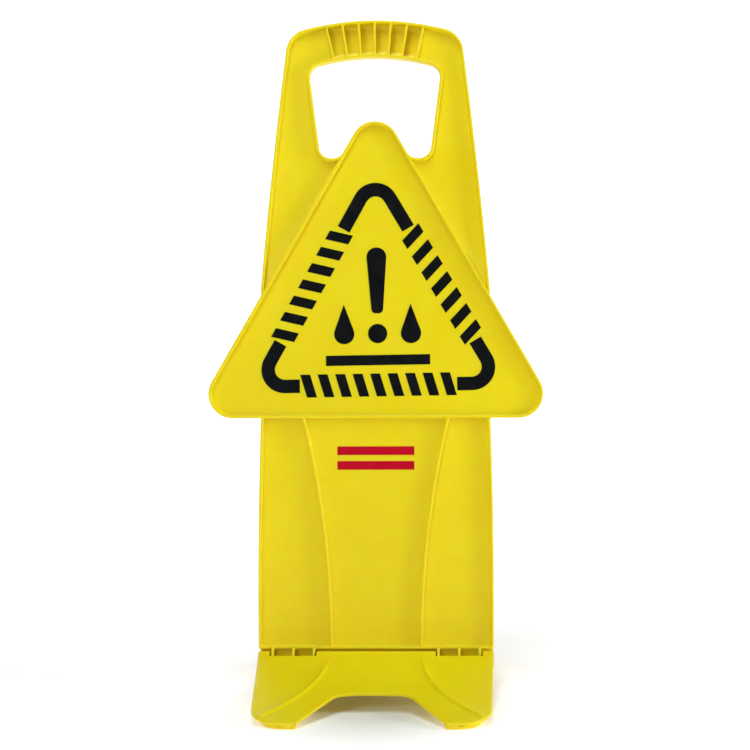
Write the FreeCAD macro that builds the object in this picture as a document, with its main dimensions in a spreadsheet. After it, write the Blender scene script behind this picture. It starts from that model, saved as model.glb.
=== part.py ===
import FreeCAD, Part
import math
import os
import Sketcher

# A free-standing two-sided wet floor sign: one tall moulded panel with a triangle head and a
# hand opening, standing on two identical feet that swing on hinge pins below the panel.
# Millimetres. X is across the sign, the front faces -Y, Z is up, and the origin is on the
# floor, midway between the feet.

Vector = FreeCAD.Vector
Rotation = FreeCAD.Rotation
Placement = FreeCAD.Placement

DIMENSIONS = {
    # how far a shape runs into, or a cut runs past, the shape that it meets
    "overlap": 1.0,
    # panel: thickness of rims and ribs, of the web between them, and width of a rim
    "panel_thickness": 13.0,
    "web_thickness": 3.0,
    "rim_width": 2.6,
    # outline of the tall panel, as half widths and heights
    "bottom_half": 115.8,
    "bottom_height": 41.2,
    "waist_half": 113.1,
    "waist_height": 268.6,
    "knee_half": 112.9,
    "knee_height": 396.0,
    "shoulder_half": 85.3,
    "shoulder_height": 647.1,
    "lower_side_radius": 5000.0,
    "upper_side_radius": 6000.0,
    "top_radius": 280.0,
    "shoulder_radius": 24.0,
    # triangle head, to its corners before rounding
    "triangle_half": 182.7,
    "triangle_base": 268.6,
    "triangle_apex": 585.0,
    "triangle_radius": 24.0,
    # hand opening, which the triangle's apex rises into
    "opening_floor": 524.8,
    "opening_floor_inner": 34.8,
    "opening_floor_outer": 54.0,
    "opening_top_half": 65.5,
    "opening_top": 614.1,
    "opening_top_radius": 212.0,
    "opening_low_radius": 12.0,
    "opening_notch_radius": 11.0,
    "opening_high_radius": 12.0,
    # grip: ribs fanned about a point below the handle
    "grip_ribs": 7,
    "grip_pitch": 4.5,
    "grip_centre": 455.0,
    "grip_rib_width": 2.2,
    "grip_rib_start": 171.0,
    "grip_rib_end": 204.0,
    "grip_web_thickness": 3.0,
    "grip_sector_start": 160.0,
    "grip_sector_end": 230.0,
    # two curved ribs on the lower panel
    "curve_rib_foot": 44.4,
    "curve_rib_head": 71.6,
    "curve_rib_radius": 937.0,
    "curve_rib_width": 2.6,
    # hinge lugs below the panel
    "hinge_out": 9.5,
    "hinge_height": 31.2,
    "lug_inner": 60.0,
    "lug_outer": 103.2,
    "lug_radius": 7.0,
    "lug_ribs": 3,
    "lug_rib_width": 2.5,
    "stop_wall_bottom": 33.5,
    "stop_wall_half": 114.0,
    "stop_wall_thickness": 2.0,
    # hinge pins
    "pin_radius": 2.5,
    "pin_play": 0.05,
    "pin_inner_end": 47.0,
    "pin_outer_end": 115.0,
    # feet, in the plane of the sloping plate, measured from the hinge axis
    "foot_slope": 11.63,
    "foot_length": 160.6,
    "foot_thickest": 30.0,
    "foot_heel_half": 115.6,
    "heel_line": 1.0,
    "foot_front_half": 106.5,
    "foot_corner_radius": 31.0,
    "plate_thickness": 3.0,
    "barrel_radius": 8.2,
    "barrel_core_radius": 4.3,
    "notch_inner": 58.5,
    "notch_outer": 104.7,
    "notch_depth": 7.45,
    "boss_length": 12.0,
    "arch_top_half": 33.0,
    "arch_depth": 98.8,
    "arch_front_half": 66.5,
    "arch_radius": 16.0,
    "arch_top_radius": 227.0,
    "toe_inner": 65.2,
    "toe_outer": 98.0,
    "toe_length": 26.0,
    "toe_radius": 24.0,
    "stop_face": 8.2,
    "stop_bottom": 2.5,
    "stop_top": 5.0,
    "stop_front": 3.0,
    "stop_root": 4.4,
    "bead_start_half": 45.6,
    "bead_start": 11.0,
    "bead_end_inner": 95.2,
    "bead_end_outer": 98.4,
    "bead_end": 150.0,
    "bead_rise": 3.2,
    "bead_radius": 197.0,
    "bead_height": 1.5,
    "gate_mark_radius": 3.2,
    "gate_mark_out": 62.0,
    "gate_mark_height": 0.3,
    # printed films on both faces of the web
    "film": 0.2,
    "print_tilt": 0.8,
    "print_across": 1.8,
    "print_half": 132.4,
    "print_base": 294.6,
    "band_width": 13.2,
    "band_radius": 23.0,
    "band_inner_radius": 10.0,
    "apex_arm": 63.7,
    "side_corner_arm": 49.5,
    "base_corner_arm": 43.2,
    "bar_height": 22.5,
    "bar_width": 9.8,
    "bar_slant": 6.5,
    "side_bars": 7,
    "base_bars": 9,
    "ground_half": 51.5,
    "ground_low": 320.8,
    "ground_high": 330.8,
    "mark_top": 437.0,
    "mark_top_half": 10.5,
    "mark_top_round": 9.5,
    "mark_low": 372.0,
    "mark_low_half": 5.5,
    "mark_low_round": 4.5,
    "dot_height": 352.0,
    "dot_radius": 9.5,
    "drop_across": 33.0,
    "drop_height": 352.0,
    "drop_radius": 10.0,
    "drop_tip": 381.0,
    "stripe_half": 38.0,
    "upper_stripe_low": 232.0,
    "upper_stripe_high": 240.5,
    "lower_stripe_low": 217.5,
    "lower_stripe_high": 226.0,
}

doc = FreeCAD.newDocument("wet_floor_sign")
sheet = doc.addObject("Spreadsheet::Sheet", "dims")
for row, (alias, value) in enumerate(DIMENSIONS.items(), start=1):
    sheet.set(f"A{row}", alias)
    sheet.set(f"B{row}", str(value))
    sheet.setAlias(f"B{row}", alias)
doc.recompute()

D = {alias: float(getattr(sheet, alias)) for alias in DIMENSIONS}


# ---------------------------------------------------------------- sketch and feature helpers

def new_body(name):
    return doc.addObject("PartDesign::Body", name)


def new_sketch(body, name, role, out=0.0, turn=0.0):
    """A sketch on one of the body's own origin planes, moved out along its normal and turned in it."""
    sketch = body.newObject("Sketcher::SketchObject", name)
    plane = [item for item in body.Origin.OriginFeatures if item.Role == role][0]
    sketch.AttachmentSupport = [(plane, "")]
    sketch.MapMode = "FlatFace"
    sketch.AttachmentOffset = Placement(Vector(0, 0, out), Rotation(Vector(0, 0, 1), turn))
    return sketch


def pin_point(sketch, geometry, position, x_rule, y_rule):
    """Hold one point of the sketch at the two expressions; None holds it on the axis."""
    for kind, rule in (("DistanceX", x_rule), ("DistanceY", y_rule)):
        if rule is None:
            sketch.addConstraint(Sketcher.Constraint("PointOnObject", geometry, position, -2))
            continue
        index = sketch.addConstraint(Sketcher.Constraint(kind, -1, 1, geometry, position, rule[1]))
        sketch.setExpression(f"Constraints[{index}]", rule[0])


def rule(alias, sign=1):
    """An expression on the sheet, with its present value."""
    if alias is None:
        return None
    prefix = "-" if sign < 0 else ""
    return (f"{prefix}dims.{alias}", sign * D[alias])


def add_edge(sketch, start, end, radius_alias, hollow):
    """A line, or an arc of the named radius, from start to end; says which of its ends is which."""
    if radius_alias is None:
        sketch.addGeometry(Part.LineSegment(start, end))
        return (1, 2)
    radius = D[radius_alias]
    chord = end - start
    middle = (start + end) * 0.5
    side = Vector(chord.y, -chord.x, 0).normalize() * (-1 if hollow else 1)
    reach = math.sqrt(radius ** 2 - chord.Length ** 2 / 4)
    centre = middle - side * reach
    first, last = (end, start) if hollow else (start, end)
    low = math.atan2(first.y - centre.y, first.x - centre.x)
    high = math.atan2(last.y - centre.y, last.x - centre.x)
    if high < low:
        high += 2 * math.pi
    circle = Part.Circle(centre, Vector(0, 0, 1), radius)
    geometry = sketch.addGeometry(Part.ArcOfCircle(circle, low, high))
    index = sketch.addConstraint(Sketcher.Constraint("Radius", geometry, radius))
    sketch.setExpression(f"Constraints[{index}]", f"dims.{radius_alias}")
    return (2, 1) if hollow else (1, 2)


def outline(sketch, corners, edges, hollow=()):
    """One closed outline, anticlockwise. A corner is (x rule, y rule); edges[i] leaves corner i and is
    None for a line or the alias of an arc's radius; an arc listed in hollow curves into the outline."""
    count = len(corners)
    first = sketch.GeometryCount
    points = [Vector(x[1] if x else 0.0, y[1], 0) for x, y in corners]
    ends = []
    for i in range(count):
        ends.append(add_edge(sketch, points[i], points[(i + 1) % count], edges[i], i in hollow))
    for i in range(count):
        after = (i + 1) % count
        sketch.addConstraint(
            Sketcher.Constraint("Coincident", first + i, ends[i][1], first + after, ends[after][0]))
    for i, (x, y) in enumerate(corners):
        pin_point(sketch, first + i, ends[i][0], x, y)


def mirrored_outline(sketch, half, base_arc=None):
    """A closed outline that is symmetric about the sketch's vertical axis. half lists its right side
    upwards as (x alias or None on the axis, y alias, y sign, radius alias of the edge that follows).
    base_arc is the alias of the radius of an arc that hollows the edge across the base."""
    right = [(rule(x), rule(y, sign)) for x, y, sign, edge in half]
    left = [(rule(x, -1), rule(y, sign)) for x, y, sign, edge in reversed(half) if x]
    edges = [edge for x, y, sign, edge in half]
    back = [edge for x, y, sign, edge in reversed(half[:-1])]
    if half[0][0]:
        back.append(base_arc)
    total = len(right) + len(left)
    outline(sketch, right + left, (edges + back)[:total], [total - 1] if base_arc else [])


def negative(value_rule):
    """The same rule with its sign changed."""
    return (f"-({value_rule[0]})", -value_rule[1])


def on_both_sides(sketch, corners, edges, hollow=()):
    """An outline on the right of the sketch's vertical axis, and its mirror image on the left."""
    outline(sketch, corners, edges, hollow)
    count = len(corners)
    mirrored = [(negative(x), y) for x, y in reversed(corners)]
    order = [(count - 2 - i) % count for i in range(count)]
    outline(sketch, mirrored, [edges[i] for i in order], [i for i in range(count) if order[i] in hollow])


def rectangle(sketch, low_x, high_x, low_y, high_y):
    """A rectangle between four rules."""
    corners = [(low_x, low_y), (high_x, low_y), (high_x, high_y), (low_x, high_y)]
    outline(sketch, corners, [None] * 4)


def circle(sketch, centre, radius_alias, extra=""):
    """A circle about a (x rule, y rule) centre."""
    x, y = centre
    value = D[radius_alias] + (D[extra] if extra else 0.0)
    geometry = sketch.addGeometry(Part.Circle(Vector(x[1], y[1], 0), Vector(0, 0, 1), value))
    pin_point(sketch, geometry, 3, x, y)
    index = sketch.addConstraint(Sketcher.Constraint("Radius", geometry, value))
    sum_rule = f"dims.{radius_alias}" + (f" + dims.{extra}" if extra else "")
    sketch.setExpression(f"Constraints[{index}]", sum_rule)


ORIGIN = (("0", 0.0), ("0", 0.0))

# lengths below FLAT count as nothing, and a corner within NEAR of a named place is that corner
FLAT = 1e-6
NEAR = 0.2


def pad(body, sketch, length, symmetric=True, reversed_=False):
    """Pad a sketch by an expression."""
    feature = body.newObject("PartDesign::Pad", sketch.Name + "_pad")
    feature.Profile = sketch
    feature.setExpression("Length", length)
    feature.SideType = "Symmetric" if symmetric else "One side"
    feature.Reversed = reversed_
    doc.recompute()
    return feature


def pocket(body, sketch, length, symmetric=True, reversed_=False):
    """Cut a sketch out by an expression, and make sure that it removed something."""
    before = body.Shape.Volume
    feature = body.newObject("PartDesign::Pocket", sketch.Name + "_pocket")
    feature.Profile = sketch
    feature.setExpression("Length", length)
    feature.SideType = "Symmetric" if symmetric else "One side"
    feature.Reversed = reversed_
    doc.recompute()
    if feature.Shape.Volume >= before:
        raise RuntimeError(f"{feature.Name} removes nothing")
    return feature


def round_corners(body, base, places, radius):
    """Round the edges that run across the sign at the given (x, z) places."""
    names = []
    for index, edge in enumerate(base.Shape.Edges, start=1):
        start, end = edge.Vertexes[0].Point, edge.Vertexes[-1].Point
        across = abs(start.x - end.x) < FLAT and abs(start.z - end.z) < FLAT
        if across and any(math.hypot(start.x - x, start.z - z) < NEAR for x, z in places):
            names.append(f"Edge{index}")
    if len(names) != len(places):
        raise RuntimeError(f"{body.Name}: {len(names)} of {len(places)} corners found")
    feature = body.newObject("PartDesign::Fillet", base.Name + "_round")
    feature.Base = (base, names)
    feature.setExpression("Radius", radius)
    doc.recompute()
    return feature


def wall_around(body, base, inward):
    """Turn a block into the wall that follows its outline, open at the front and back."""
    faces = []
    for index, face in enumerate(base.Shape.Faces, start=1):
        if abs(abs(face.normalAt(0, 0).y) - 1) < FLAT:
            faces.append(f"Face{index}")
    feature = body.newObject("PartDesign::Thickness", base.Name + "_wall")
    feature.Base = (base, faces)
    feature.setExpression("Value", "dims.rim_width")
    feature.Reversed = inward
    feature.Join = 1
    doc.recompute()
    return feature


def box(name, length, width, height, corner, turn=None):
    """A Part box with bound sizes, placed by its lowest corner."""
    item = doc.addObject("Part::Box", name)
    item.setExpression("Length", length)
    item.setExpression("Width", width)
    item.setExpression("Height", height)
    item.Placement = Placement(corner, Rotation()) if turn is None else turn * Placement(corner, Rotation())
    return item


def fuse(name, items):
    item = doc.addObject("Part::MultiFuse", name)
    item.Shapes = items
    doc.recompute()
    return item


def cut(name, base, tool):
    item = doc.addObject("Part::Cut", name)
    item.Base = base
    item.Tool = tool
    doc.recompute()
    return item


def common(name, base, tool):
    item = doc.addObject("Part::Common", name)
    item.Base = base
    item.Tool = tool
    doc.recompute()
    return item


# ---------------------------------------------------------------- the sign panel

def tall_block(name, length):
    """The tall panel's outline as a plain block."""
    body = new_body(name)
    sketch = new_sketch(body, name + "_outline", "XZ_Plane")
    mirrored_outline(sketch, [
        ("bottom_half", "bottom_height", 1, "lower_side_radius"),
        ("waist_half", "waist_height", 1, None),
        ("knee_half", "knee_height", 1, "upper_side_radius"),
        ("shoulder_half", "shoulder_height", 1, "top_radius"),
    ])
    block = pad(body, sketch, length)
    shoulder = (D["shoulder_half"], D["shoulder_height"])
    corners = [shoulder, (-shoulder[0], shoulder[1])]
    return body, round_corners(body, block, corners, "dims.shoulder_radius")


def triangle_block(name, length):
    """The triangle head's outline as a plain block."""
    body = new_body(name)
    sketch = new_sketch(body, name + "_outline", "XZ_Plane")
    mirrored_outline(sketch, [
        ("triangle_half", "triangle_base", 1, None),
        (None, "triangle_apex", 1, None),
    ])
    block = pad(body, sketch, length)
    half, base = D["triangle_half"], D["triangle_base"]
    corners = [(half, base), (-half, base), (0.0, D["triangle_apex"])]
    return body, round_corners(body, block, corners, "dims.triangle_radius")


def opening_block(name, length):
    """The hand opening as a plain block; the triangle's apex rises into its floor."""
    body = new_body(name)
    sketch = new_sketch(body, name + "_outline", "XZ_Plane")
    mirrored_outline(sketch, [
        (None, "triangle_apex", 1, None),
        ("opening_floor_inner", "opening_floor", 1, None),
        ("opening_floor_outer", "opening_floor", 1, None),
        ("opening_top_half", "opening_top", 1, "opening_top_radius"),
    ])
    base = pad(body, sketch, length)
    rounds = [
        ([(0.0, D["triangle_apex"])], "triangle_radius"),
        ([(D["opening_floor_inner"], D["opening_floor"])], "opening_notch_radius"),
        ([(D["opening_floor_outer"], D["opening_floor"])], "opening_low_radius"),
        ([(D["opening_top_half"], D["opening_top"])], "opening_high_radius"),
    ]
    for places, alias in rounds:
        both = places + [(-x, z) for x, z in places if x]
        base = round_corners(body, base, both, f"dims.{alias}")
    return body, base


def curved_ribs():
    """Two ribs that rise from the bottom edge and lean outwards, up to the triangle's base."""
    body = new_body("curve_ribs")
    sketch = new_sketch(body, "curve_ribs_outline", "XZ_Plane")
    width = D["curve_rib_width"] / 2
    low = rule("bottom_height")
    high = ("dims.triangle_base + dims.rim_width", D["triangle_base"] + D["rim_width"])

    def edge_of(alias, side):
        mark = "-" if side < 0 else "+"
        return (f"dims.{alias} {mark} dims.curve_rib_width / 2", D[alias] + side * width)

    corners = [
        (edge_of("curve_rib_foot", -1), low),
        (edge_of("curve_rib_foot", 1), low),
        (edge_of("curve_rib_head", 1), high),
        (edge_of("curve_rib_head", -1), high),
    ]
    on_both_sides(sketch, corners, [None, "curve_rib_radius", None, "curve_rib_radius"], [1])
    pad(body, sketch, "dims.panel_thickness")
    return body


def grip_ribs():
    """Ribs across the handle bar, fanned about a point below it."""
    centre = Vector(0, 0, D["grip_centre"])
    count = int(D["grip_ribs"])
    ribs = []
    for i in range(count):
        angle = (i - (count - 1) / 2) * D["grip_pitch"]
        turn = Placement(centre, Rotation(Vector(0, 1, 0), angle))
        corner = Vector(-D["grip_rib_width"] / 2, -D["panel_thickness"] / 2, D["grip_rib_start"])
        length = "dims.grip_rib_end - dims.grip_rib_start"
        ribs.append(box(f"grip_rib_{i + 1}", "dims.grip_rib_width", "dims.panel_thickness", length,
                        corner, turn))
    return ribs


def grip_sector():
    """The stretch of handle bar between its outermost ribs."""
    body = new_body("grip_sector")
    sketch = new_sketch(body, "grip_sector_outline", "XZ_Plane")
    spread = "(dims.grip_ribs - 1) / 2 * dims.grip_pitch * 1 deg"
    angle = math.radians((D["grip_ribs"] - 1) / 2 * D["grip_pitch"])
    corners = []
    for reach in ("grip_sector_start", "grip_sector_end"):
        x = (f"dims.{reach} * sin({spread})", D[reach] * math.sin(angle))
        height = D["grip_centre"] + D[reach] * math.cos(angle)
        z = (f"dims.grip_centre + dims.{reach} * cos({spread})", height)
        corners.append((x, z))
    mirrored = [((f"-({x[0]})", -x[1]), z) for x, z in reversed(corners)]
    outline(sketch, corners + mirrored, [None] * 4)
    pad(body, sketch, "dims.panel_thickness * 2")
    return body


def hinge_lug_rib(name, corner_x):
    """One hinge rib, which carries the front pin and the rear pin side by side."""
    body = new_body(name)
    sketch = new_sketch(body, name + "_outline", "YZ_Plane", corner_x)
    radius = D["lug_radius"]
    front = -D["hinge_out"]
    root = ("dims.panel_thickness / 2", D["panel_thickness"] / 2)
    nose = ("dims.hinge_out + dims.lug_radius", D["hinge_out"] + radius)
    low = ("dims.hinge_height - dims.lug_radius", D["hinge_height"] - radius)
    level = ("dims.hinge_height", D["hinge_height"])
    top = ("dims.bottom_height + dims.rim_width / 2", D["bottom_height"] + D["rim_width"] / 2)
    out = ("dims.hinge_out", -front)

    right = [(out, low), (nose, level), (root, top)]
    left = [(negative(root), top), (negative(nose), level), (negative(out), low)]
    outline(sketch, right + left, ["lug_radius", None, None, None, "lug_radius", None])
    pad(body, sketch, "dims.lug_rib_width", symmetric=False)
    return body


def sign_panel():
    """The whole panel: rims, webs, ribs, grip and hinge lugs, moulded in one piece."""
    tall_wall_body, block = tall_block("tall_wall", "dims.panel_thickness")
    wall_around(tall_wall_body, block, True)
    tall_web, _ = tall_block("tall_web", "dims.web_thickness")
    tall_full, _ = tall_block("tall_full", "dims.panel_thickness")
    triangle_wall, block = triangle_block("triangle_wall", "dims.panel_thickness")
    wall_around(triangle_wall, block, True)
    triangle_web, _ = triangle_block("triangle_web", "dims.web_thickness")
    triangle_full, _ = triangle_block("triangle_full", "dims.panel_thickness + dims.overlap * 2")
    opening_wall, block = opening_block("opening_wall", "dims.panel_thickness")
    wall_around(opening_wall, block, False)
    opening_full, _ = opening_block("opening_full", "dims.panel_thickness + dims.overlap * 2")

    # the grip's cells are open to the front and closed by a web at the back
    sector = grip_sector()
    middle_web = cut("middle_web", tall_web, sector)
    back_slab = box("back_slab", "dims.shoulder_half * 2", "dims.grip_web_thickness", "dims.grip_sector_end",
                    Vector(-D["shoulder_half"], D["panel_thickness"] / 2 - D["grip_web_thickness"],
                           D["opening_floor"]))
    back_part = common("grip_back_block", tall_full, back_slab)
    back_web = common("grip_back_web", back_part, sector)

    bars = [tall_wall_body, middle_web, back_web, opening_wall, curved_ribs()] + grip_ribs()
    frame = fuse("panel_frame", bars)
    open_frame = cut("open_frame", frame, opening_full)
    around_triangle = cut("frame_around_triangle", open_frame, triangle_full)

    # lugs: a wall in the middle of the panel's thickness, with ribs across it on each side
    ribs = int(D["lug_ribs"])
    wall = "dims.web_thickness"
    lug_low = D["hinge_height"] - D["lug_radius"]
    half_wall = D["web_thickness"] / 2
    wall_height = "dims.bottom_height - dims.stop_wall_bottom + dims.overlap"
    pieces = [box("stop_wall", "dims.stop_wall_half * 2", "dims.stop_wall_thickness", wall_height,
                  Vector(-D["stop_wall_half"], -D["stop_wall_thickness"] / 2, D["stop_wall_bottom"]))]
    for side in (-1, 1):
        name = "left" if side < 0 else "right"
        left_end = D["lug_inner"] if side > 0 else -D["lug_outer"]
        height = "dims.bottom_height - dims.hinge_height + dims.lug_radius + dims.overlap"
        pieces.append(box(f"{name}_lug_wall", "dims.lug_outer - dims.lug_inner", wall, height,
                          Vector(left_end, -half_wall, lug_low)))
        span = D["lug_outer"] - D["lug_inner"] - D["lug_rib_width"]
        for i in range(ribs):
            pieces.append(hinge_lug_rib(f"{name}_lug_rib_{i + 1}", left_end + span * i / (ribs - 1)))
    whole = fuse("panel_with_lugs", [around_triangle, triangle_wall, triangle_web] + pieces)

    bores = []
    for side, name in ((-1, "front"), (1, "rear")):
        bore = doc.addObject("Part::Cylinder", f"{name}_bore")
        bore.setExpression("Radius", "dims.pin_radius + dims.pin_play")
        bore.setExpression("Height", "dims.bottom_half * 2")
        start = Vector(-D["bottom_half"], side * D["hinge_out"], D["hinge_height"])
        bore.Placement = Placement(start, Rotation(Vector(0, 1, 0), 90))
        bores.append(bore)
    panel = cut("sign_panel", whole, fuse("panel_bores", bores))
    panel.Label = "sign_panel"
    return panel


# ---------------------------------------------------------------- the feet

def foot(name, turn):
    """One foot. It is drawn with its plate level and the hinge axis at the origin, reaching towards -Y,
    then tipped to its slope and set on its hinge axis; turn is 0 for the front and 180 for the rear."""
    body = new_body(name)
    slope = D["foot_slope"]

    barrel = new_sketch(body, name + "_barrel", "YZ_Plane")
    circle(barrel, ORIGIN, "barrel_radius")
    pad(body, barrel, "dims.foot_heel_half * 2")

    under = D["barrel_core_radius"]
    top = under + D["plate_thickness"]
    plate = new_sketch(body, name + "_plate", "XY_Plane", under)
    mirrored_outline(plate, [
        ("arch_top_half", "arch_depth", -1, None),
        ("arch_front_half", "foot_length", -1, None),
        ("foot_front_half", "foot_length", -1, None),
        ("foot_heel_half", "heel_line", -1, None),
    ], "arch_top_radius")
    plate_pad = pad(body, plate, "dims.plate_thickness", symmetric=False)
    round_upright(body, plate_pad, [(D["foot_front_half"], -D["foot_length"])], "dims.foot_corner_radius")
    tip = body.Tip
    round_upright(body, tip, [(D["arch_top_half"], -D["arch_depth"])], "dims.arch_radius")

    # the heel is a rolled wall, solid only at the four bosses that hold the pins
    core = new_sketch(body, name + "_core", "YZ_Plane")
    radius = rule("barrel_core_radius")
    minus_out = ("-dims.barrel_radius - dims.overlap", -D["barrel_radius"] - D["overlap"])
    zero = ("0", 0.0)
    below = [(minus_out, minus_out), (radius, minus_out), (radius, zero)]
    behind = [(zero, radius), (minus_out, radius)]
    outline(core, below + behind, [None, None, "barrel_core_radius", None, None])
    pocket(body, core, "(dims.notch_inner - dims.boss_length) * 2")

    # a ridge behind the heel meets the panel's middle wall and holds the foot open
    ridge = new_sketch(body, name + "_stop", "YZ_Plane", 0.0, -slope)
    face, root, front = rule("stop_face"), rule("stop_root"), rule("stop_front")
    low, high = rule("stop_bottom"), rule("stop_top")
    outline(ridge, [(root, low), (face, low), (face, high), (front, high)], [None] * 4)
    pad(body, ridge, "dims.notch_inner * 2")

    notches = new_sketch(body, name + "_notches", "XY_Plane")
    inner, outer = rule("notch_inner"), rule("notch_outer")
    near, far = rule("boss_length"), rule("notch_depth", -1)
    on_both_sides(notches, [(inner, far), (outer, far), (outer, near), (inner, near)], [None] * 4)
    pocket(body, notches, "dims.barrel_radius * 4")

    bore = new_sketch(body, name + "_bore", "YZ_Plane")
    circle(bore, ORIGIN, "pin_radius", "pin_play")
    pocket(body, bore, "dims.foot_heel_half * 2 + dims.overlap * 2")

    toes = new_sketch(body, name + "_toes", "XY_Plane", under + D["plate_thickness"] / 2)
    front = rule("foot_length", -1)
    rear = ("dims.toe_length - dims.foot_length", D["toe_length"] - D["foot_length"])
    bend_x = ("dims.toe_outer - dims.toe_radius", D["toe_outer"] - D["toe_radius"])
    bend_y = ("dims.toe_radius - dims.foot_length", D["toe_radius"] - D["foot_length"])
    inner, outer = rule("toe_inner"), rule("toe_outer")
    corners = [(inner, front), (bend_x, front), (outer, bend_y), (outer, rear), (inner, rear)]
    on_both_sides(toes, corners, [None, "toe_radius", None, None, None])
    pad(body, toes, "dims.hinge_height / 2", symmetric=False, reversed_=True)

    floor = new_sketch(body, name + "_floor", "YZ_Plane", 0.0, -slope)
    far = ("-dims.foot_length - dims.foot_thickest", -D["foot_length"] - D["foot_thickest"])
    deep = ("-dims.hinge_height - dims.foot_thickest", -D["hinge_height"] - D["foot_thickest"])
    rectangle(floor, far, zero, deep, rule("hinge_height", -1))
    pocket(body, floor, "dims.foot_heel_half * 2")

    beads = new_sketch(body, name + "_beads", "XY_Plane", top - D["overlap"])
    start = (rule("bead_start_half"), rule("bead_start", -1))
    inner = (rule("bead_end_inner"), rule("bead_end", -1))
    outer = (rule("bead_end_outer"), ("dims.bead_rise - dims.bead_end", D["bead_rise"] - D["bead_end"]))
    on_both_sides(beads, [start, inner, outer], ["bead_radius", None, "bead_radius"], [2])
    pad(body, beads, "dims.bead_height + dims.overlap", symmetric=False)

    mark = new_sketch(body, name + "_gate_mark", "XY_Plane", top - D["overlap"])
    circle(mark, (("0", 0.0), rule("gate_mark_out", -1)), "gate_mark_radius")
    pad(body, mark, "dims.gate_mark_height + dims.overlap", symmetric=False)

    on_axis = Placement(Vector(0, -D["hinge_out"], D["hinge_height"]), Rotation(Vector(1, 0, 0), slope))
    body.Placement = Placement(Vector(), Rotation(Vector(0, 0, 1), turn)) * on_axis
    body.Label = name
    doc.recompute()
    return body


def round_upright(body, base, places, radius):
    """Round the edges that stand square to the plate at the given (x, y) places and their mirror images."""
    names = []
    for index, edge in enumerate(base.Shape.Edges, start=1):
        start, end = edge.Vertexes[0].Point, edge.Vertexes[-1].Point
        upright = abs(start.x - end.x) < FLAT and abs(start.y - end.y) < FLAT
        if upright and any(math.hypot(abs(start.x) - x, start.y - y) < NEAR for x, y in places):
            names.append(f"Edge{index}")
    if not names:
        raise RuntimeError(f"{body.Name}: no corner found at {places}")
    feature = body.newObject("PartDesign::Fillet", f"{base.Name}_round")
    feature.Base = (base, names)
    feature.setExpression("Radius", radius)
    doc.recompute()
    return feature


# ---------------------------------------------------------------- pins

def hinge_pin(name, side, front):
    """One plain hinge pin, from the foot's middle boss through the lug to its outer tab."""
    pin = doc.addObject("Part::Cylinder", name)
    pin.setExpression("Radius", "dims.pin_radius")
    pin.setExpression("Height", "dims.pin_outer_end - dims.pin_inner_end")
    start = D["pin_inner_end"] if side > 0 else -D["pin_outer_end"]
    pin.Placement = Placement(Vector(start, front * D["hinge_out"], D["hinge_height"]),
                              Rotation(Vector(0, 1, 0), 90))
    pin.Label = name
    return pin


# ---------------------------------------------------------------- printed films

ROOT3 = math.sqrt(3)


def print_triangle(sketch, inset):
    """An equilateral outline, inset evenly from the outside of the printed band."""
    low = (f"dims.print_base + {inset[0]}", D["print_base"] + inset[1])
    half = (f"dims.print_half - sqrt(3) * ({inset[0]})", D["print_half"] - ROOT3 * inset[1])
    high = (f"{low[0]} + sqrt(3) * ({half[0]})", low[1] + ROOT3 * half[1])
    outline(sketch, [(half, low), (None, high), (negative(half), low)], [None] * 3)
    return [(half[1], low[1]), (-half[1], low[1]), (0.0, high[1])]


def side_frames():
    """Each side of the band's centre line as (start corner, direction, outward normal, length)."""
    inset = D["band_width"] / 2
    low = D["print_base"] + inset
    half = D["print_half"] - ROOT3 * inset
    corners = [Vector(half, low, 0), Vector(0, low + ROOT3 * half, 0), Vector(-half, low, 0)]
    frames = []
    for i in range(3):
        start, end = corners[i], corners[(i + 1) % 3]
        along = (end - start).normalize()
        frames.append((start, along, Vector(along.y, -along.x, 0), (end - start).Length))
    return frames


def placed_polygon(sketch, frame, shape):
    """A closed polygon given along and across one side of the band."""
    start, along, outward, _ = frame
    corners = []
    for distance, offset in shape:
        point = start + along * distance + outward * offset
        corners.append(((str(point.x), point.x), (str(point.y), point.y)))
    outline(sketch, corners, [None] * len(corners))


def arms(side):
    """How far the band runs along this side from its start and from its end."""
    corner, apex, base = D["side_corner_arm"], D["apex_arm"], D["base_corner_arm"]
    return [(corner, apex), (apex, corner), (base, base)][side]


def border_print(name):
    """A rounded triangular band, open along each side, with a row of slanted bars in each opening."""
    body = new_body(name)
    outer = new_sketch(body, name + "_outer", "XZ_Plane")
    corners = print_triangle(outer, ("0", 0.0))
    block = pad(body, outer, "dims.film", symmetric=False)
    round_corners(body, block, corners, "dims.band_radius")
    inner = new_sketch(body, name + "_inner", "XZ_Plane")
    corners = print_triangle(inner, rule("band_width"))
    hole = pocket(body, inner, "dims.film * 2")
    round_corners(body, hole, corners, "dims.band_inner_radius")
    frames = side_frames()
    gaps = new_sketch(body, name + "_gaps", "XZ_Plane")
    for i, frame in enumerate(frames):
        first, last = arms(i)
        reach = D["band_width"]
        end = frame[3] - last
        placed_polygon(gaps, frame, [(first, -reach), (first, reach), (end, reach), (end, -reach)][::-1])
    pocket(body, gaps, "dims.film * 2")
    bars = new_sketch(body, name + "_bars", "XZ_Plane")
    for i, frame in enumerate(frames):
        first, last = arms(i)
        count = int(D["base_bars"] if i == 2 else D["side_bars"])
        pitch = (frame[3] - first - last) / count
        high, wide, lean = D["bar_height"] / 2, D["bar_width"] / 2, D["bar_slant"] / 2
        for step in range(count):
            middle = first + pitch * (step + 0.5)
            shape = [(middle - wide - lean, -high), (middle - wide + lean, high),
                     (middle + wide + lean, high), (middle + wide - lean, -high)]
            placed_polygon(bars, frame, shape[::-1])
    pad(body, bars, "dims.film", symmetric=False)
    return body


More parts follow.
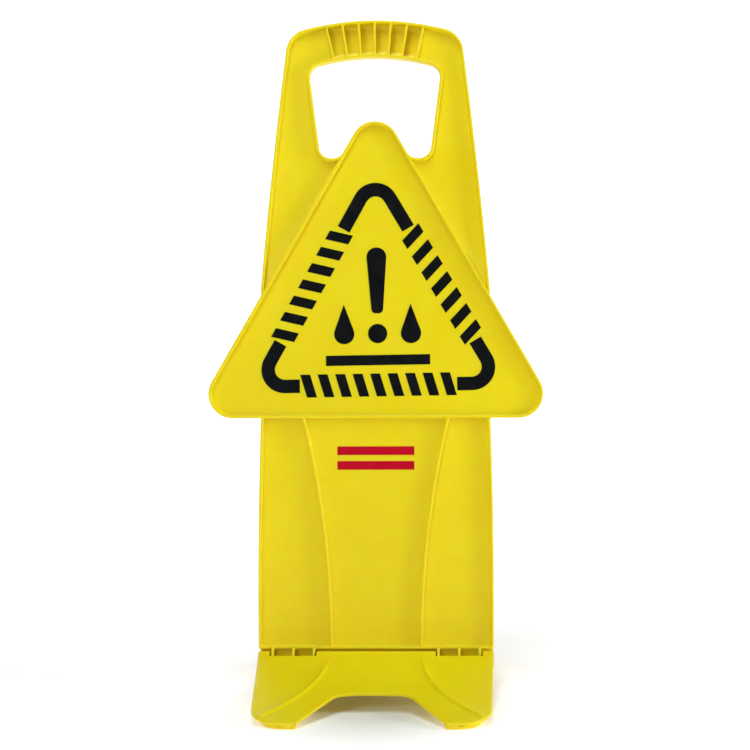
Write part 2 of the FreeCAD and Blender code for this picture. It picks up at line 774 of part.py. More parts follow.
def symbol_print(name):
    """A plain exclamation mark between two drops of water, above a bar for the ground."""
    body = new_body(name)
    ground = new_sketch(body, name + "_ground", "XZ_Plane")
    rectangle(ground, rule("ground_half", -1), rule("ground_half"), rule("ground_low"), rule("ground_high"))
    pad(body, ground, "dims.film", symmetric=False)
    mark = new_sketch(body, name + "_mark", "XZ_Plane")
    mirrored_outline(mark, [
        ("mark_low_half", "mark_low", 1, None),
        ("mark_top_half", "mark_top", 1, None),
    ])
    block = pad(body, mark, "dims.film", symmetric=False)
    top, low = D["mark_top_half"], D["mark_low_half"]
    high_corners = [(top, D["mark_top"]), (-top, D["mark_top"])]
    low_corners = [(low, D["mark_low"]), (-low, D["mark_low"])]
    upper = round_corners(body, block, high_corners, "dims.mark_top_round")
    round_corners(body, upper, low_corners, "dims.mark_low_round")
    rounds = new_sketch(body, name + "_rounds", "XZ_Plane")
    circle(rounds, (("0", 0.0), rule("dot_height")), "dot_radius")
    for sign in (-1, 1):
        circle(rounds, (rule("drop_across", sign), rule("drop_height")), "drop_radius")
    pad(body, rounds, "dims.film", symmetric=False)
    tips = new_sketch(body, name + "_tips", "XZ_Plane")
    reach = D["drop_tip"] - D["drop_height"]
    radius = D["drop_radius"]
    rise = radius ** 2 / reach
    half = radius * math.sqrt(1 - (radius / reach) ** 2)
    rise_rule = "dims.drop_radius ^ 2 / (dims.drop_tip - dims.drop_height)"
    half_rule = "dims.drop_radius * sqrt(1 - (dims.drop_radius / (dims.drop_tip - dims.drop_height)) ^ 2)"
    touch = (f"dims.drop_height + {rise_rule}", D["drop_height"] + rise)
    for sign in (-1, 1):
        prefix = "-" if sign < 0 else ""
        middle = sign * D["drop_across"]
        left = (f"{prefix}dims.drop_across - {half_rule}", middle - half)
        right = (f"{prefix}dims.drop_across + {half_rule}", middle + half)
        tip = (rule("drop_across", sign), rule("drop_tip"))
        outline(tips, [(left, touch), (right, touch), tip], [None] * 3)
    pad(body, tips, "dims.film", symmetric=False)
    return body


def stripe_print(name):
    """Two plain stripes on the lower panel."""
    body = new_body(name)
    sketch = new_sketch(body, name + "_lines", "XZ_Plane")
    for place in ("upper", "lower"):
        low, high = rule(f"{place}_stripe_low"), rule(f"{place}_stripe_high")
        rectangle(sketch, rule("stripe_half", -1), rule("stripe_half"), low, high)
    pad(body, sketch, "dims.film", symmetric=False)
    return body


def place_print(body, name, turn, tilted):
    """Lay a film on the web's front face, or on its rear face for a turn of 180."""
    centre = Vector(0, 0, D["print_base"] + D["print_half"] / ROOT3)
    tilt = Rotation(Vector(0, 1, 0), -D["print_tilt"] if tilted else 0.0)
    about = Placement(centre, tilt) * Placement(-centre, Rotation())
    across = D["print_across"] if tilted else 0.0
    onto = Placement(Vector(across, -D["web_thickness"] / 2, 0), Rotation())
    body.Placement = Placement(Vector(), Rotation(Vector(0, 0, 1), turn)) * onto * about
    body.Label = name
    return body


# ---------------------------------------------------------------- build, check and write

parts = [sign_panel(), foot("front_foot", 0), foot("rear_foot", 180)]
for front, row_name in ((-1, "front"), (1, "rear")):
    for side, side_name in ((-1, "left"), (1, "right")):
        parts.append(hinge_pin(f"{row_name}_{side_name}_hinge_pin", side, front))
for turn, row_name in ((0, "front"), (180, "rear")):
    for maker, print_name, tilted in (
        (border_print, "border_print", True),
        (symbol_print, "symbol_print", True),
        (stripe_print, "stripe_print", False),
    ):
        name = f"{row_name}_{print_name}"
        parts.append(place_print(maker(name), name, turn, tilted))
doc.recompute()

for item in doc.Objects:
    if "Invalid" in item.State or "Error" in item.State:
        raise RuntimeError(f"{item.Name} failed: {item.State}")
for item in parts:
    if item.Shape.isNull() or not item.Shape.isValid():
        raise RuntimeError(f"{item.Label} has no valid shape")

os.makedirs("parts", exist_ok=True)
for item in parts:
    item.Shape.exportStep(f"parts/{item.Label}.step")
    box_size = item.Shape.optimalBoundingBox(True, False)
    print(f"{item.Label}: {len(item.Shape.Solids)} solid(s), {item.Shape.Volume / 1000:.1f} cm3, "
          f"x {box_size.XMin:.1f}..{box_size.XMax:.1f} y {box_size.YMin:.1f}..{box_size.YMax:.1f} "
          f"z {box_size.ZMin:.1f}..{box_size.ZMax:.1f}")
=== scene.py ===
import math

import bmesh
import bpy
import numpy
from mathutils import Matrix, Vector
from mathutils.geometry import delaunay_2d_cdt


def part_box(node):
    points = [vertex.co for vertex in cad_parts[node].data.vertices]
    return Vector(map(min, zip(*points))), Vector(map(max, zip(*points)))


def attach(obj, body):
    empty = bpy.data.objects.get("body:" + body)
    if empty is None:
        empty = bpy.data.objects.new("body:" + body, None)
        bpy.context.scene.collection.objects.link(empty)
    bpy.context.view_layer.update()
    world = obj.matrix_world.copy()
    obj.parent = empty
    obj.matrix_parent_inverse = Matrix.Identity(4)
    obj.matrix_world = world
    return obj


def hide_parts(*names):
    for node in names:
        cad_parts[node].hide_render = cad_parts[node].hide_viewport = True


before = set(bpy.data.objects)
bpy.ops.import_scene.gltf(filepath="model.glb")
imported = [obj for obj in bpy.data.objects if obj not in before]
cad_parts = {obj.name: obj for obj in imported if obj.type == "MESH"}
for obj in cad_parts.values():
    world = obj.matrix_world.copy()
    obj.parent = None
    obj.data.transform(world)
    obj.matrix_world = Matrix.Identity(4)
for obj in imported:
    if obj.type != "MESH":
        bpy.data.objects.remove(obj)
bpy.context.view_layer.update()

MM = 0.001
# Tolerances: millimetres for distances, degrees for turns.
WELD = 0.0005
FLAT_TURN = 0.05
SHARP_TURN = 40
# Decimals kept when planes are told apart: of where a face looks, and how far out it lies.
FACING_DECIMALS = 2
LEVEL_DECIMALS = 1
# The least squared length divided by, and how near counts as touching when a flat is refilled.
LEAST_SQUARE = 1e-12
REFILL_NEAR = 1e-5


# ---------------------------------------------------------------- mesh helpers

def new_piece(name, bm, body, material, replaces):
    """Turn a bmesh in millimetres into a piece that rides on a body and replaces CAD nodes."""
    bm.transform(Matrix.Scale(MM, 4))
    mesh = bpy.data.meshes.new(name)
    bm.to_mesh(mesh)
    bm.free()
    for face in mesh.polygons:
        face.use_smooth = True
    piece = bpy.data.objects.new(name, mesh)
    bpy.context.scene.collection.objects.link(piece)
    mesh.materials.append(material)
    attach(piece, body)
    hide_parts(*replaces)
    return piece


def cad_copy(node):
    """A welded copy of a CAD node's mesh in millimetres, flat areas merged into single faces."""
    bm = bmesh.new()
    bm.from_mesh(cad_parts[node].data)
    bm.transform(Matrix.Scale(1 / MM, 4))
    bmesh.ops.remove_doubles(bm, verts=bm.verts, dist=WELD)
    limit = math.radians(FLAT_TURN)
    bmesh.ops.dissolve_limit(bm, angle_limit=limit, verts=bm.verts, edges=bm.edges)
    return bm


def sharp_edges(bm, hollow, angle=SHARP_TURN):
    """Edges whose faces turn by more than the angle, inwards or outwards."""
    found = []
    for edge in bm.edges:
        if len(edge.link_faces) != 2:
            continue
        turn = math.degrees(edge.calc_face_angle_signed(0))
        if (turn < -angle) if hollow else (turn > angle):
            found.append(edge)
    return found


def round_edges(bm, edges, radius, segments):
    bmesh.ops.bevel(bm, geom=edges, offset=radius, offset_type="OFFSET", segments=segments,
                    profile=0.5, affect="EDGES", clamp_overlap=False, loop_slide=True)


def flat_key(face):
    """The same for all faces of one plane: where they face, and how far out the plane lies."""
    facing = tuple(round(value, FACING_DECIMALS) for value in face.normal)
    return facing + (round(face.normal.dot(face.calc_center_median()), LEVEL_DECIMALS),)


def inside(points, starts, ends):
    """Which points lie inside the closed loops made of the edges from starts to ends."""
    x, y = points[:, :1], points[:, 1:]
    low, high = starts[:, 1], ends[:, 1]
    spans = (low > y) != (high > y)
    steep = numpy.where(high == low, 1.0, high - low)
    crossing = starts[:, 0] + (y - low) * (ends[:, 0] - starts[:, 0]) / steep
    return (spans & (x < crossing)).sum(axis=1) % 2 == 1


def edge_distance(points, starts, ends):
    """How far each point lies from the nearest of the edges."""
    run = ends - starts
    length = numpy.maximum((run ** 2).sum(axis=1), LEAST_SQUARE)
    gap = points[:, None, :] - starts[None, :, :]
    share = numpy.clip((gap * run).sum(axis=2) / length, 0.0, 1.0)
    return numpy.sqrt(((gap - share[:, :, None] * run) ** 2).sum(axis=2)).min(axis=1)


def refill(bm, faces, extra=None, margin=0.0):
    """Mesh one flat area again, as triangles between its outer edges, its holes and the extra
    points, which keep the margin from every edge. Returns each extra point's new vertex and its
    distance from the edge."""
    normal = max(faces, key=lambda face: face.calc_area()).normal.copy()
    across = Vector((1.0, 0.0, 0.0)) if extra is not None else normal.orthogonal().normalized()
    along = normal.cross(across)
    members = set(faces)
    rim = [edge for face in faces for edge in face.edges
           if sum(other in members for other in edge.link_faces) == 1]
    corners = list({vert: None for edge in rim for vert in edge.verts})
    index = {vert: i for i, vert in enumerate(corners)}
    flat = [(across.dot(vert.co), along.dot(vert.co)) for vert in corners]
    level = sum(normal.dot(vert.co) for vert in corners) / len(corners)
    pairs = [(index[edge.verts[0]], index[edge.verts[1]]) for edge in rim]
    ends = numpy.array(flat)[numpy.array(pairs)]
    added = []
    if extra is not None:
        points = numpy.array(extra)
        points = points[inside(points, ends[:, 0], ends[:, 1])]
        away = edge_distance(points, ends[:, 0], ends[:, 1])
        points, away = points[away > margin], away[away > margin]
        flat += [tuple(point) for point in points]
    spots, _, triangles, origins, _, _ = delaunay_2d_cdt(
        [Vector(point) for point in flat], pairs, [], 0, REFILL_NEAR)
    if not triangles:
        return added
    grid = numpy.array([tuple(spot) for spot in spots])
    centres = numpy.array([grid[list(triangle)].mean(axis=0) for triangle in triangles])
    kept = inside(centres, ends[:, 0], ends[:, 1])
    verts = []
    for spot, origin in zip(spots, origins):
        if origin and origin[0] < len(corners):
            verts.append(corners[origin[0]])
            continue
        vert = bm.verts.new(across * spot[0] + along * spot[1] + normal * level)
        verts.append(vert)
        if origin:
            added.append((vert, away[origin[0] - len(corners)]))
    bmesh.ops.delete(bm, geom=faces, context="FACES_ONLY")
    for triangle, keep in zip(triangles, kept):
        trio = [verts[i] for i in triangle]
        if keep and len(set(trio)) == 3 and bm.faces.get(trio) is None:
            bm.faces.new(trio)
    return added


def refill_flat(bm):
    """Mesh the flat faces with more than four corners again, one plane at a time."""
    groups = {}
    for face in bm.faces:
        if len(face.verts) > 4:
            groups.setdefault(flat_key(face), []).append(face)
    for faces in groups.values():
        refill(bm, faces)
    loose = [edge for edge in bm.edges if not edge.link_faces]
    bmesh.ops.delete(bm, geom=loose, context="EDGES")


def smooth(low, high, value):
    share = min(max((value - low) / (high - low), 0.0), 1.0)
    return share * share * (3.0 - 2.0 * share)


def weighted_normals(piece):
    modifier = piece.modifiers.new("even_normals", "WEIGHTED_NORMAL")
    modifier.mode = "FACE_AREA"
    modifier.weight = 50


# ---------------------------------------------------------------- materials

def node_material(name):
    material = bpy.data.materials.new(name)
    material.use_nodes = True
    tree = material.node_tree
    shader = tree.nodes["Principled BSDF"]
    return material, tree, shader


def noise(tree, scale, detail=3.0, roughness=0.5):
    coordinates = tree.nodes.new("ShaderNodeTexCoord")
    texture = tree.nodes.new("ShaderNodeTexNoise")
    texture.inputs["Scale"].default_value = scale
    texture.inputs["Detail"].default_value = detail
    texture.inputs["Roughness"].default_value = roughness
    tree.links.new(coordinates.outputs["Object"], texture.inputs["Vector"])
    return texture.outputs["Fac"]


def ramp(tree, value, stops):
    node = tree.nodes.new("ShaderNodeValToRGB")
    elements = node.color_ramp.elements
    while len(elements) < len(stops):
        elements.new(0.5)
    for element, (place, colour) in zip(elements, stops):
        element.position = place
        element.color = (*colour, 1.0)
    tree.links.new(value, node.inputs["Fac"])
    return node.outputs["Color"]


def span(tree, value, low, high, from_low=0.35, from_high=0.65):
    node = tree.nodes.new("ShaderNodeMapRange")
    node.inputs["From Min"].default_value = from_low
    node.inputs["From Max"].default_value = from_high
    node.inputs["To Min"].default_value = low
    node.inputs["To Max"].default_value = high
    tree.links.new(value, node.inputs["Value"])
    return node.outputs["Result"]


def blend(tree, factor, first, second):
    node = tree.nodes.new("ShaderNodeMix")
    node.data_type = "RGBA"
    tree.links.new(factor, node.inputs["Factor"])
    for socket, value in (("A", first), ("B", second)):
        target = [item for item in node.inputs if item.name == socket and item.type == "RGBA"][0]
        if isinstance(value, tuple):
            target.default_value = (*value, 1.0)
        else:
            tree.links.new(value, target)
    return [item for item in node.outputs if item.type == "RGBA"][0]


def bump(tree, shader, layers):
    """Stack bumps; a layer is (height, strength, distance in metres)."""
    normal = None
    for height, strength, distance in layers:
        node = tree.nodes.new("ShaderNodeBump")
        node.inputs["Strength"].default_value = strength
        node.inputs["Distance"].default_value = distance
        tree.links.new(height, node.inputs["Height"])
        if normal is not None:
            tree.links.new(normal, node.inputs["Normal"])
        normal = node.outputs["Normal"]
    tree.links.new(normal, shader.inputs["Normal"])


def yellow_plastic():
    material, tree, shader = node_material("yellow_polypropylene")
    cloud = noise(tree, 9.0, 3.0)
    base = ramp(tree, cloud, [(0.30, (0.865, 0.675, 0.002)), (0.70, (0.905, 0.730, 0.004))])
    streaks = noise(tree, 42.0, 4.0, 0.6)
    flowed = blend(tree, span(tree, streaks, 0.0, 0.35), base, (0.840, 0.635, 0.002))
    specks = noise(tree, 900.0, 2.0)
    marked = blend(tree, span(tree, specks, 0.0, 0.5, 0.70, 0.80), flowed, (0.70, 0.49, 0.02))
    # Painted highlight: the sharp convex edges, found by pointiness, get a lighter yellow
    edges = tree.nodes.new("ShaderNodeNewGeometry")
    edge_highlight = span(tree, edges.outputs["Pointiness"], 0.0, 0.30, 0.53, 0.60)
    highlighted = blend(tree, edge_highlight, marked, (0.95, 0.81, 0.07))
    tree.links.new(highlighted, shader.inputs["Base Color"])
    haze = noise(tree, 26.0, 5.0, 0.65)
    tree.links.new(span(tree, haze, 0.34, 0.50), shader.inputs["Roughness"])
    shader.inputs["IOR"].default_value = 1.49
    shader.inputs["Specular IOR Level"].default_value = 0.30
    shader.inputs["Subsurface Weight"].default_value = 0.40
    shader.inputs["Subsurface Radius"].default_value = (1.0, 0.20, 0.02)
    shader.inputs["Subsurface Scale"].default_value = 0.004
    grain = noise(tree, 1600.0, 2.0)
    ripple = noise(tree, 120.0, 2.0)
    bump(tree, shader, [(ripple, 0.10, 0.0006), (grain, 0.10, 0.00012)])
    return material


def ink(name, dark, light):
    material, tree, shader = node_material(name)
    cloud = noise(tree, 70.0, 4.0)
    base = ramp(tree, cloud, [(0.30, dark), (0.75, light)])
    tree.links.new(base, shader.inputs["Base Color"])
    tree.links.new(span(tree, noise(tree, 60.0, 5.0), 0.38, 0.55), shader.inputs["Roughness"])
    shader.inputs["Specular IOR Level"].default_value = 0.06
    mesh_of_screen = noise(tree, 2600.0, 1.0)
    bump(tree, shader, [(mesh_of_screen, 0.12, 0.00006)])
    return material


def steel():
    material, tree, shader = node_material("drawn_steel")
    shader.inputs["Metallic"].default_value = 1.0
    cloud = noise(tree, 220.0, 4.0)
    base = ramp(tree, cloud, [(0.3, (0.50, 0.50, 0.48)), (0.7, (0.66, 0.66, 0.64))])
    tree.links.new(base, shader.inputs["Base Color"])
    tree.links.new(span(tree, noise(tree, 700.0, 3.0), 0.28, 0.46), shader.inputs["Roughness"])
    bump(tree, shader, [(noise(tree, 1500.0, 2.0), 0.15, 0.00005)])
    return material


YELLOW = yellow_plastic()
BLACK = ink("black_ink", (0.003, 0.003, 0.004), (0.008, 0.008, 0.009))
RED = ink("red_ink", (0.52, 0.002, 0.016), (0.62, 0.004, 0.024))
STEEL = steel()


# ---------------------------------------------------------------- the mouldings

# The panel's roundings: radius in millimetres and number of steps.
PANEL_ROOT = (1.2, 3)
PANEL_LIP = (0.75, 3)
GRIP_ROOT = (5.0, 5)
# The grip cells open to the front. Their floor lies at this Y, above this Z.
GRIP_FLOOR = 3.5
GRIP_LOW = 612.0
GRIP_NEAR = 0.1


def keep_inside(bm, node):
    """Rounding a tight corner can push a vertex out a little. This brings it back to the CAD's
    box."""
    low, high = [Vector(corner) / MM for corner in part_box(node)]
    for vert in bm.verts:
        for axis in range(3):
            vert.co[axis] = min(max(vert.co[axis], low[axis]), high[axis])


def grip_ends(bm):
    """The edges where the grip cells' floors meet the handle's top rim and the opening's rim."""
    found = []
    for edge in sharp_edges(bm, True):
        start, end = [vert.co for vert in edge.verts]
        on_floor = abs(start.y - GRIP_FLOOR) < GRIP_NEAR and abs(end.y - GRIP_FLOOR) < GRIP_NEAR
        if on_floor and start.z > GRIP_LOW and abs(start.x - end.x) > abs(start.z - end.z):
            found.append(edge)
    return found


def sign_panel():
    bm = cad_copy("sign_panel")
    round_edges(bm, grip_ends(bm), *GRIP_ROOT)
    round_edges(bm, sharp_edges(bm, True), *PANEL_ROOT)
    round_edges(bm, sharp_edges(bm, False), *PANEL_LIP)
    refill_flat(bm)
    piece = new_piece("sign_panel_moulding", bm, "panel", YELLOW, ["sign_panel"])
    weighted_normals(piece)


# The foot in its own plane: X across, Y from the hinge axis towards the toes (negative), Z out of
# the plate. Millimetres.
FOOT_SLOPE = math.radians(11.63)
HINGE_OUT = 9.5
HINGE_HEIGHT = 31.2
PLATE_TOP = 7.3
PRESS_FROM = -9.5
SIDE_HEEL = 115.6
SIDE_FRONT = 106.5
FOOT_LENGTH = 160.6
# The two curved beads: arcs that start at the heel, and get wider over their first stretch.
BEAD_CENTRE = (242.8, -12.0)
BEAD_RADIUS = 197.0
BEAD_LENGTH = 153.0
BEAD_HEIGHT = 1.7
BEAD_HALF_START = 1.3
BEAD_HALF_END = 3.6
BEAD_WIDENS = (0.0, 70.0)
BEAD_RISES = (-4.0, 30.0)
BEAD_FALLS = (BEAD_LENGTH - 6.0, BEAD_LENGTH)
# The wings past the beads are dished a little. Ranges over which the dish sets in and ends.
DISH_DEPTH = 0.7
DISH_FROM_BEAD = (0.0, 14.0)
DISH_FROM_SIDE = (0.0, 16.0)
DISH_FROM_HEEL = (12.0, 40.0)
DISH_TO_TOE = (120.0, 158.0)
# The gate mark is a low round spot between the beads.
GATE_OUT = 62.0
GATE_RADIUS = 3.2
GATE_RISE = 0.3
GATE_EDGE = 0.7
GATE_RINGS = (1.2, GATE_RADIUS - GATE_EDGE, GATE_RADIUS - 0.35, GATE_RADIUS, GATE_RADIUS + 0.5)
GATE_SIDES = 20
GATE_CLEAR = 2.0
# Vertices of the foot's top: rows along the beads, and a grid between.
RELIEF_MARGIN = 0.8
RELIEF_STEP = 4.0
RELIEF_FADE = (0.0, 3.0)
BEAD_STEP = 2.0
BEAD_CLEAR = 8.5
BEAD_ACROSS = (0.8, 1.6, 2.4, 3.2, 4.0, 5.2, 7.0)
# The foot's roundings, and the least turn, in degrees, of the inner corners that get one.
FOOT_ROOT = (1.0, 3)
FOOT_LIP = (0.8, 3)
FOOT_ROOT_TURN = 20


def bead_place(x, y):
    """Distance along the bead's centre line, and across it, positive towards the wing."""
    right, back = BEAD_CENTRE[0] - abs(x), BEAD_CENTRE[1] - y
    return BEAD_RADIUS * math.atan2(back, right), BEAD_RADIUS - math.hypot(right, back)


def foot_relief(x, y):
    """Height of the foot's top above its plate: soft beads, dished wings and the gate mark."""
    along, across = bead_place(x, y)
    half = BEAD_HALF_START + (BEAD_HALF_END - BEAD_HALF_START) * smooth(*BEAD_WIDENS, along)
    ridge = 0.0
    if abs(across) < half:
        ridge = 0.5 + 0.5 * math.cos(math.pi * across / half)
    ridge *= BEAD_HEIGHT * smooth(*BEAD_RISES, along) * (1.0 - smooth(*BEAD_FALLS, along))
    side = SIDE_HEEL + (SIDE_FRONT - SIDE_HEEL) * -y / FOOT_LENGTH - abs(x)
    dish = smooth(*DISH_FROM_BEAD, across) * smooth(*DISH_FROM_SIDE, side)
    dish *= smooth(*DISH_FROM_HEEL, -y) * (1.0 - smooth(*DISH_TO_TOE, -y))
    out = math.hypot(x, y + GATE_OUT)
    gate = GATE_RISE * (1.0 - smooth(GATE_RADIUS - GATE_EDGE, GATE_RADIUS, out))
    return ridge - DISH_DEPTH * dish + gate


def relief_points():
    """Where the foot's top gets vertices: along both beads, round the gate mark, and between."""
    points = []
    offsets = [-across for across in reversed(BEAD_ACROSS)] + [0.0] + list(BEAD_ACROSS)
    steps = int(BEAD_LENGTH / BEAD_STEP) + 3
    for i in range(-2, steps):
        angle = i * BEAD_STEP / BEAD_RADIUS
        for across in offsets:
            reach = BEAD_RADIUS - across
            x = BEAD_CENTRE[0] - reach * math.cos(angle)
            y = BEAD_CENTRE[1] - reach * math.sin(angle)
            points += [(x, y), (-x, y)]
    for radius in GATE_RINGS:
        for i in range(GATE_SIDES):
            turn = math.tau * i / GATE_SIDES
            points.append((radius * math.cos(turn), radius * math.sin(turn) - GATE_OUT))
    columns = int(SIDE_HEEL / RELIEF_STEP)
    for row in range(int(FOOT_LENGTH / RELIEF_STEP)):
        for column in range(-columns, columns + 1):
            x = RELIEF_STEP * (column + 0.5 * (row % 2))
            y = -RELIEF_STEP * (row + 1)
            near_bead = abs(bead_place(x, y)[1]) < BEAD_CLEAR
            near_gate = math.hypot(x, y + GATE_OUT) < GATE_RADIUS + GATE_CLEAR
            if not near_bead and not near_gate:
                points.append((x, y))
    return points


# The toe pads' inner walls lean: their lower edge, on the floor, is moved out by the slant.
TOE_INNER = 65.2
TOE_SLANT = 1.6
TOE_LOW = 0.5
TOE_NEAR = 0.3
# Once the beads are pressed flat: how near vertices are welded, and what turn, in degrees, still
# counts as flat. The top's faces are those that look this much upwards and lie this near to it.
PRESSED_WELD = 0.01
PRESSED_TURN = 0.5
TOP_FACING = 0.9995
TOP_NEAR = 0.02


def foot(row):
    """One foot: the CAD's moulding with its beads pressed flat, then raised again as soft forms."""
    turn = Matrix.Rotation(0.0 if row == "front" else math.pi, 4, "Z")
    hinge = Matrix.Translation((0.0, -HINGE_OUT, HINGE_HEIGHT))
    place = turn @ hinge @ Matrix.Rotation(FOOT_SLOPE, 4, "X")
    bm = cad_copy(f"{row}_foot")
    for vert in bm.verts:
        on_floor = vert.co.z < TOE_LOW
        if on_floor and abs(abs(vert.co.x) - TOE_INNER) < TOE_NEAR:
            vert.co.x += math.copysign(TOE_SLANT, vert.co.x)
    bm.transform(place.inverted())
    for vert in bm.verts:
        if vert.co.y < PRESS_FROM and vert.co.z > PLATE_TOP:
            vert.co.z = PLATE_TOP
    bmesh.ops.remove_doubles(bm, verts=bm.verts, dist=PRESSED_WELD)
    limit = math.radians(PRESSED_TURN)
    bmesh.ops.dissolve_limit(bm, angle_limit=limit, verts=bm.verts, edges=bm.edges)
    bm.normal_update()
    round_edges(bm, sharp_edges(bm, True, FOOT_ROOT_TURN), *FOOT_ROOT)
    round_edges(bm, sharp_edges(bm, False), *FOOT_LIP)
    bm.normal_update()
    top = [face for face in bm.faces if face.normal.z > TOP_FACING
           and abs(face.calc_center_median().z - PLATE_TOP) < TOP_NEAR]
    for vert, away in refill(bm, top, relief_points(), RELIEF_MARGIN):
        vert.co.z += foot_relief(vert.co.x, vert.co.y) * smooth(*RELIEF_FADE, away)
    refill_flat(bm)
    bm.transform(place)
    keep_inside(bm, f"{row}_foot")
    body = f"{row}_foot_body"
    piece = new_piece(f"{row}_foot_moulding", bm, body, YELLOW, [f"{row}_foot"])
    weighted_normals(piece)


sign_panel()
foot("front")
foot("rear")


# ---------------------------------------------------------------- hinge pins and printed films

PIN_CHAMFER = 0.6
PIN_SIDES = 32
PIN_WELD = 0.001


def hinge_pin(node, body):
    """A drawn pin turned about its own axis, with chamfered ends, where the CAD pin lies."""
    low, high = [Vector(corner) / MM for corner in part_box(node)]
    middle = (low + high) / 2
    radius = (high.z - low.z) / 2
    profile = [(low.x, 0.0), (low.x, radius - PIN_CHAMFER), (low.x + PIN_CHAMFER, radius),
               (high.x - PIN_CHAMFER, radius), (high.x, radius - PIN_CHAMFER), (high.x, 0.0)]
    bm = bmesh.new()
    ring = [bm.verts.new((x, middle.y, middle.z + out)) for x, out in profile]
    line = [bm.edges.new(pair) for pair in zip(ring, ring[1:])]
    bmesh.ops.spin(bm, geom=ring + line, cent=middle, axis=(1, 0, 0), angle=2 * math.pi,
                   steps=PIN_SIDES)
    bmesh.ops.remove_doubles(bm, verts=bm.verts, dist=PIN_WELD)
    bmesh.ops.recalc_face_normals(bm, faces=bm.faces)
    piece = new_piece(f"{node}_turned", bm, body, STEEL, [node])
    weighted_normals(piece)


for row in ("front", "rear"):
    for side in ("left", "right"):
        hinge_pin(f"{row}_{side}_hinge_pin", f"{row}_foot_body")
    for film, material in (("border", BLACK), ("symbol", BLACK), ("stripe", RED)):
        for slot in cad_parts[f"{row}_{film}_print"].material_slots:
            slot.material = material


# ---------------------------------------------------------------- studio

FLOOR_BACK = 1.2
COVE = 0.8
COVE_STEPS = 16
SWEEP_HALF = 1.8
SWEEP_FRONT = -1.4
SWEEP_TOP = 4.0
# How strongly the paper glows under the sign, where the glow is dimmed into a painted shadow,
# beside it, and at the back, and over which distances, in metres, it changes.
PAINTED_SHADOW_GLOW = 0.02
GLOW_NEAR = 0.42
GLOW_FAR = 0.72
PAINTED_SHADOW_EDGE = (0.13, 0.24)
FAR_RANGE = (0.25, 1.40)
# The painted shadow under the sign is narrower across than it is deep.
PAINTED_SHADOW_NARROW = 1.7
LAMP_COLOUR = (0.86, 0.99, 1.0)
# Each lamp's name, place, width and height in metres, and power in watts.
LAMPS = (
    ("front_box", (-0.3, -1.8, 2.3), 1.2, 0.6, 15.5),
    ("key_left", (-1.3, -2.3, 1.1), 0.5, 0.5, 15.2),
    ("side_right", (1.9, -0.45, 0.5), 0.3, 1.2, 24.0),
    ("foot_fill", (0.0, -0.55, 1.7), 0.4, 0.4, 7.2),
)
# Every lamp points at the middle of the sign.
MIDDLE = (0.0, 0.0, 0.33)
WORLD_LIGHT = 0.04
WORLD_SEEN = 1.0
# Metres and degrees; the lens and the sensor are in millimetres.
CAMERA_PLACE = (0.048, -1.4675, 0.31095)
CAMERA_TURN = (90, 0.153, 0.8)
CAMERA_LENS = 71.24
CAMERA_SENSOR = 36
CAMERA_SHIFT = -0.038


def sweep_paper():
    """White paper that glows a little, and is dimmed in a patch under the sign to paint a shadow
    there.
    """
    material, tree, shader = node_material("sweep_paper")
    base = ramp(tree, noise(tree, 3.0), [(0.3, (0.93, 0.88, 0.90)), (0.7, (0.95, 0.90, 0.92))])
    tree.links.new(base, shader.inputs["Base Color"])
    shader.inputs["Roughness"].default_value = 0.9
    shader.inputs["Specular IOR Level"].default_value = 0.1
    shader.inputs["Emission Color"].default_value = (1.0, 1.0, 1.0, 1.0)
    coordinates = tree.nodes.new("ShaderNodeTexCoord")
    narrowed = tree.nodes.new("ShaderNodeMapping")
    narrowed.inputs["Scale"].default_value = (PAINTED_SHADOW_NARROW, 1.0, 1.0)
    tree.links.new(coordinates.outputs["Object"], narrowed.inputs["Vector"])
    distance = tree.nodes.new("ShaderNodeVectorMath")
    distance.operation = "LENGTH"
    tree.links.new(narrowed.outputs["Vector"], distance.inputs[0])
    # Painted shadow: the glow falls to almost nothing in a patch under the sign
    painted_shadow = span(tree, distance.outputs["Value"], PAINTED_SHADOW_GLOW, GLOW_NEAR, *PAINTED_SHADOW_EDGE)
    split = tree.nodes.new("ShaderNodeSeparateXYZ")
    tree.links.new(coordinates.outputs["Object"], split.inputs["Vector"])
    far = span(tree, split.outputs["Y"], 0.0, GLOW_FAR - GLOW_NEAR, *FAR_RANGE)
    glow = tree.nodes.new("ShaderNodeMath")
    glow.operation = "ADD"
    tree.links.new(painted_shadow, glow.inputs[0])
    tree.links.new(far, glow.inputs[1])
    tree.links.new(glow.outputs["Value"], shader.inputs["Emission Strength"])
    return material


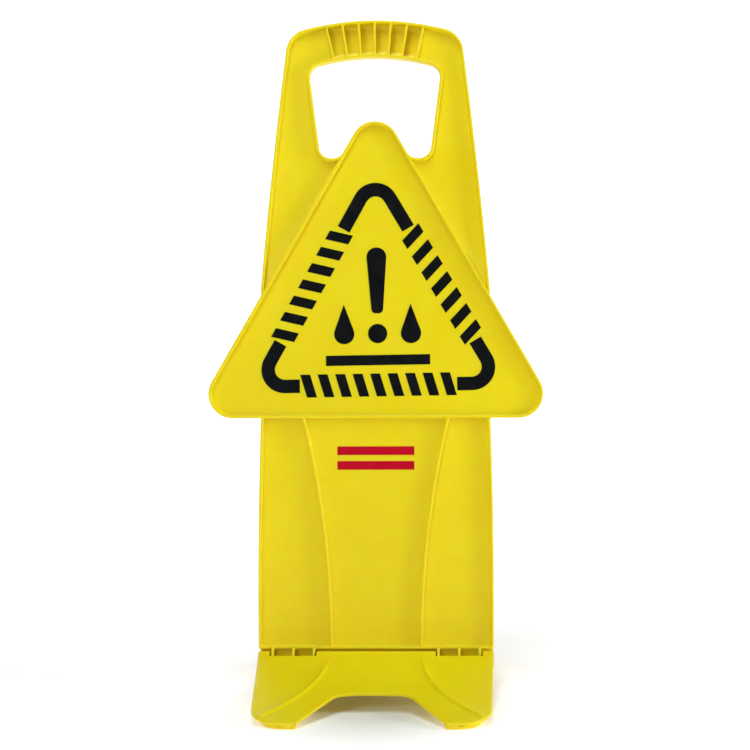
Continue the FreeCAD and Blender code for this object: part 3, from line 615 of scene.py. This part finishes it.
def sweep():
    """The floor, which curves up into the backdrop."""
    profile = [(SWEEP_FRONT, 0.0)]
    for i in range(COVE_STEPS + 1):
        turn = math.pi / 2 * i / COVE_STEPS
        profile.append((FLOOR_BACK + COVE * math.sin(turn), COVE - COVE * math.cos(turn)))
    profile.append((FLOOR_BACK + COVE, SWEEP_TOP))
    corners = [(x, y, z) for y, z in profile for x in (-SWEEP_HALF, SWEEP_HALF)]
    faces = [(2 * i, 2 * i + 1, 2 * i + 3, 2 * i + 2) for i in range(len(profile) - 1)]
    mesh = bpy.data.meshes.new("sweep")
    mesh.from_pydata(corners, [], faces)
    mesh.materials.append(sweep_paper())
    for face in mesh.polygons:
        face.use_smooth = True
    item = bpy.data.objects.new("sweep", mesh)
    bpy.context.scene.collection.objects.link(item)


def area_light(name, place, width, height, power):
    data = bpy.data.lights.new(name, "AREA")
    data.shape = "RECTANGLE"
    data.size = width
    data.size_y = height
    data.energy = power
    data.color = LAMP_COLOUR
    light = bpy.data.objects.new(name, data)
    light.location = place
    towards = Vector(MIDDLE) - Vector(place)
    light.rotation_euler = towards.to_track_quat("-Z", "Y").to_euler()
    bpy.context.scene.collection.objects.link(light)


sweep()
for lamp in LAMPS:
    area_light(*lamp)

world = bpy.data.worlds.new("studio")
bpy.context.scene.world = world
world.use_nodes = True
# The room past the paper is seen as white from every side, and adds next to no light.
background = world.node_tree.nodes["Background"]
background.inputs["Color"].default_value = (1.0, 1.0, 1.0, 1.0)
path = world.node_tree.nodes.new("ShaderNodeLightPath")
seen = span(world.node_tree, path.outputs["Is Camera Ray"], WORLD_LIGHT, WORLD_SEEN, 0.0, 1.0)
world.node_tree.links.new(seen, background.inputs["Strength"])

camera_data = bpy.data.cameras.new("camera")
camera = bpy.data.objects.new("camera", camera_data)
bpy.context.scene.collection.objects.link(camera)
camera.location = CAMERA_PLACE
camera.rotation_euler = [math.radians(angle) for angle in CAMERA_TURN]
camera_data.sensor_width = CAMERA_SENSOR
camera_data.lens = CAMERA_LENS
camera_data.shift_x = CAMERA_SHIFT
bpy.context.scene.camera = camera
bpy.context.scene.view_settings.view_transform = "Standard"
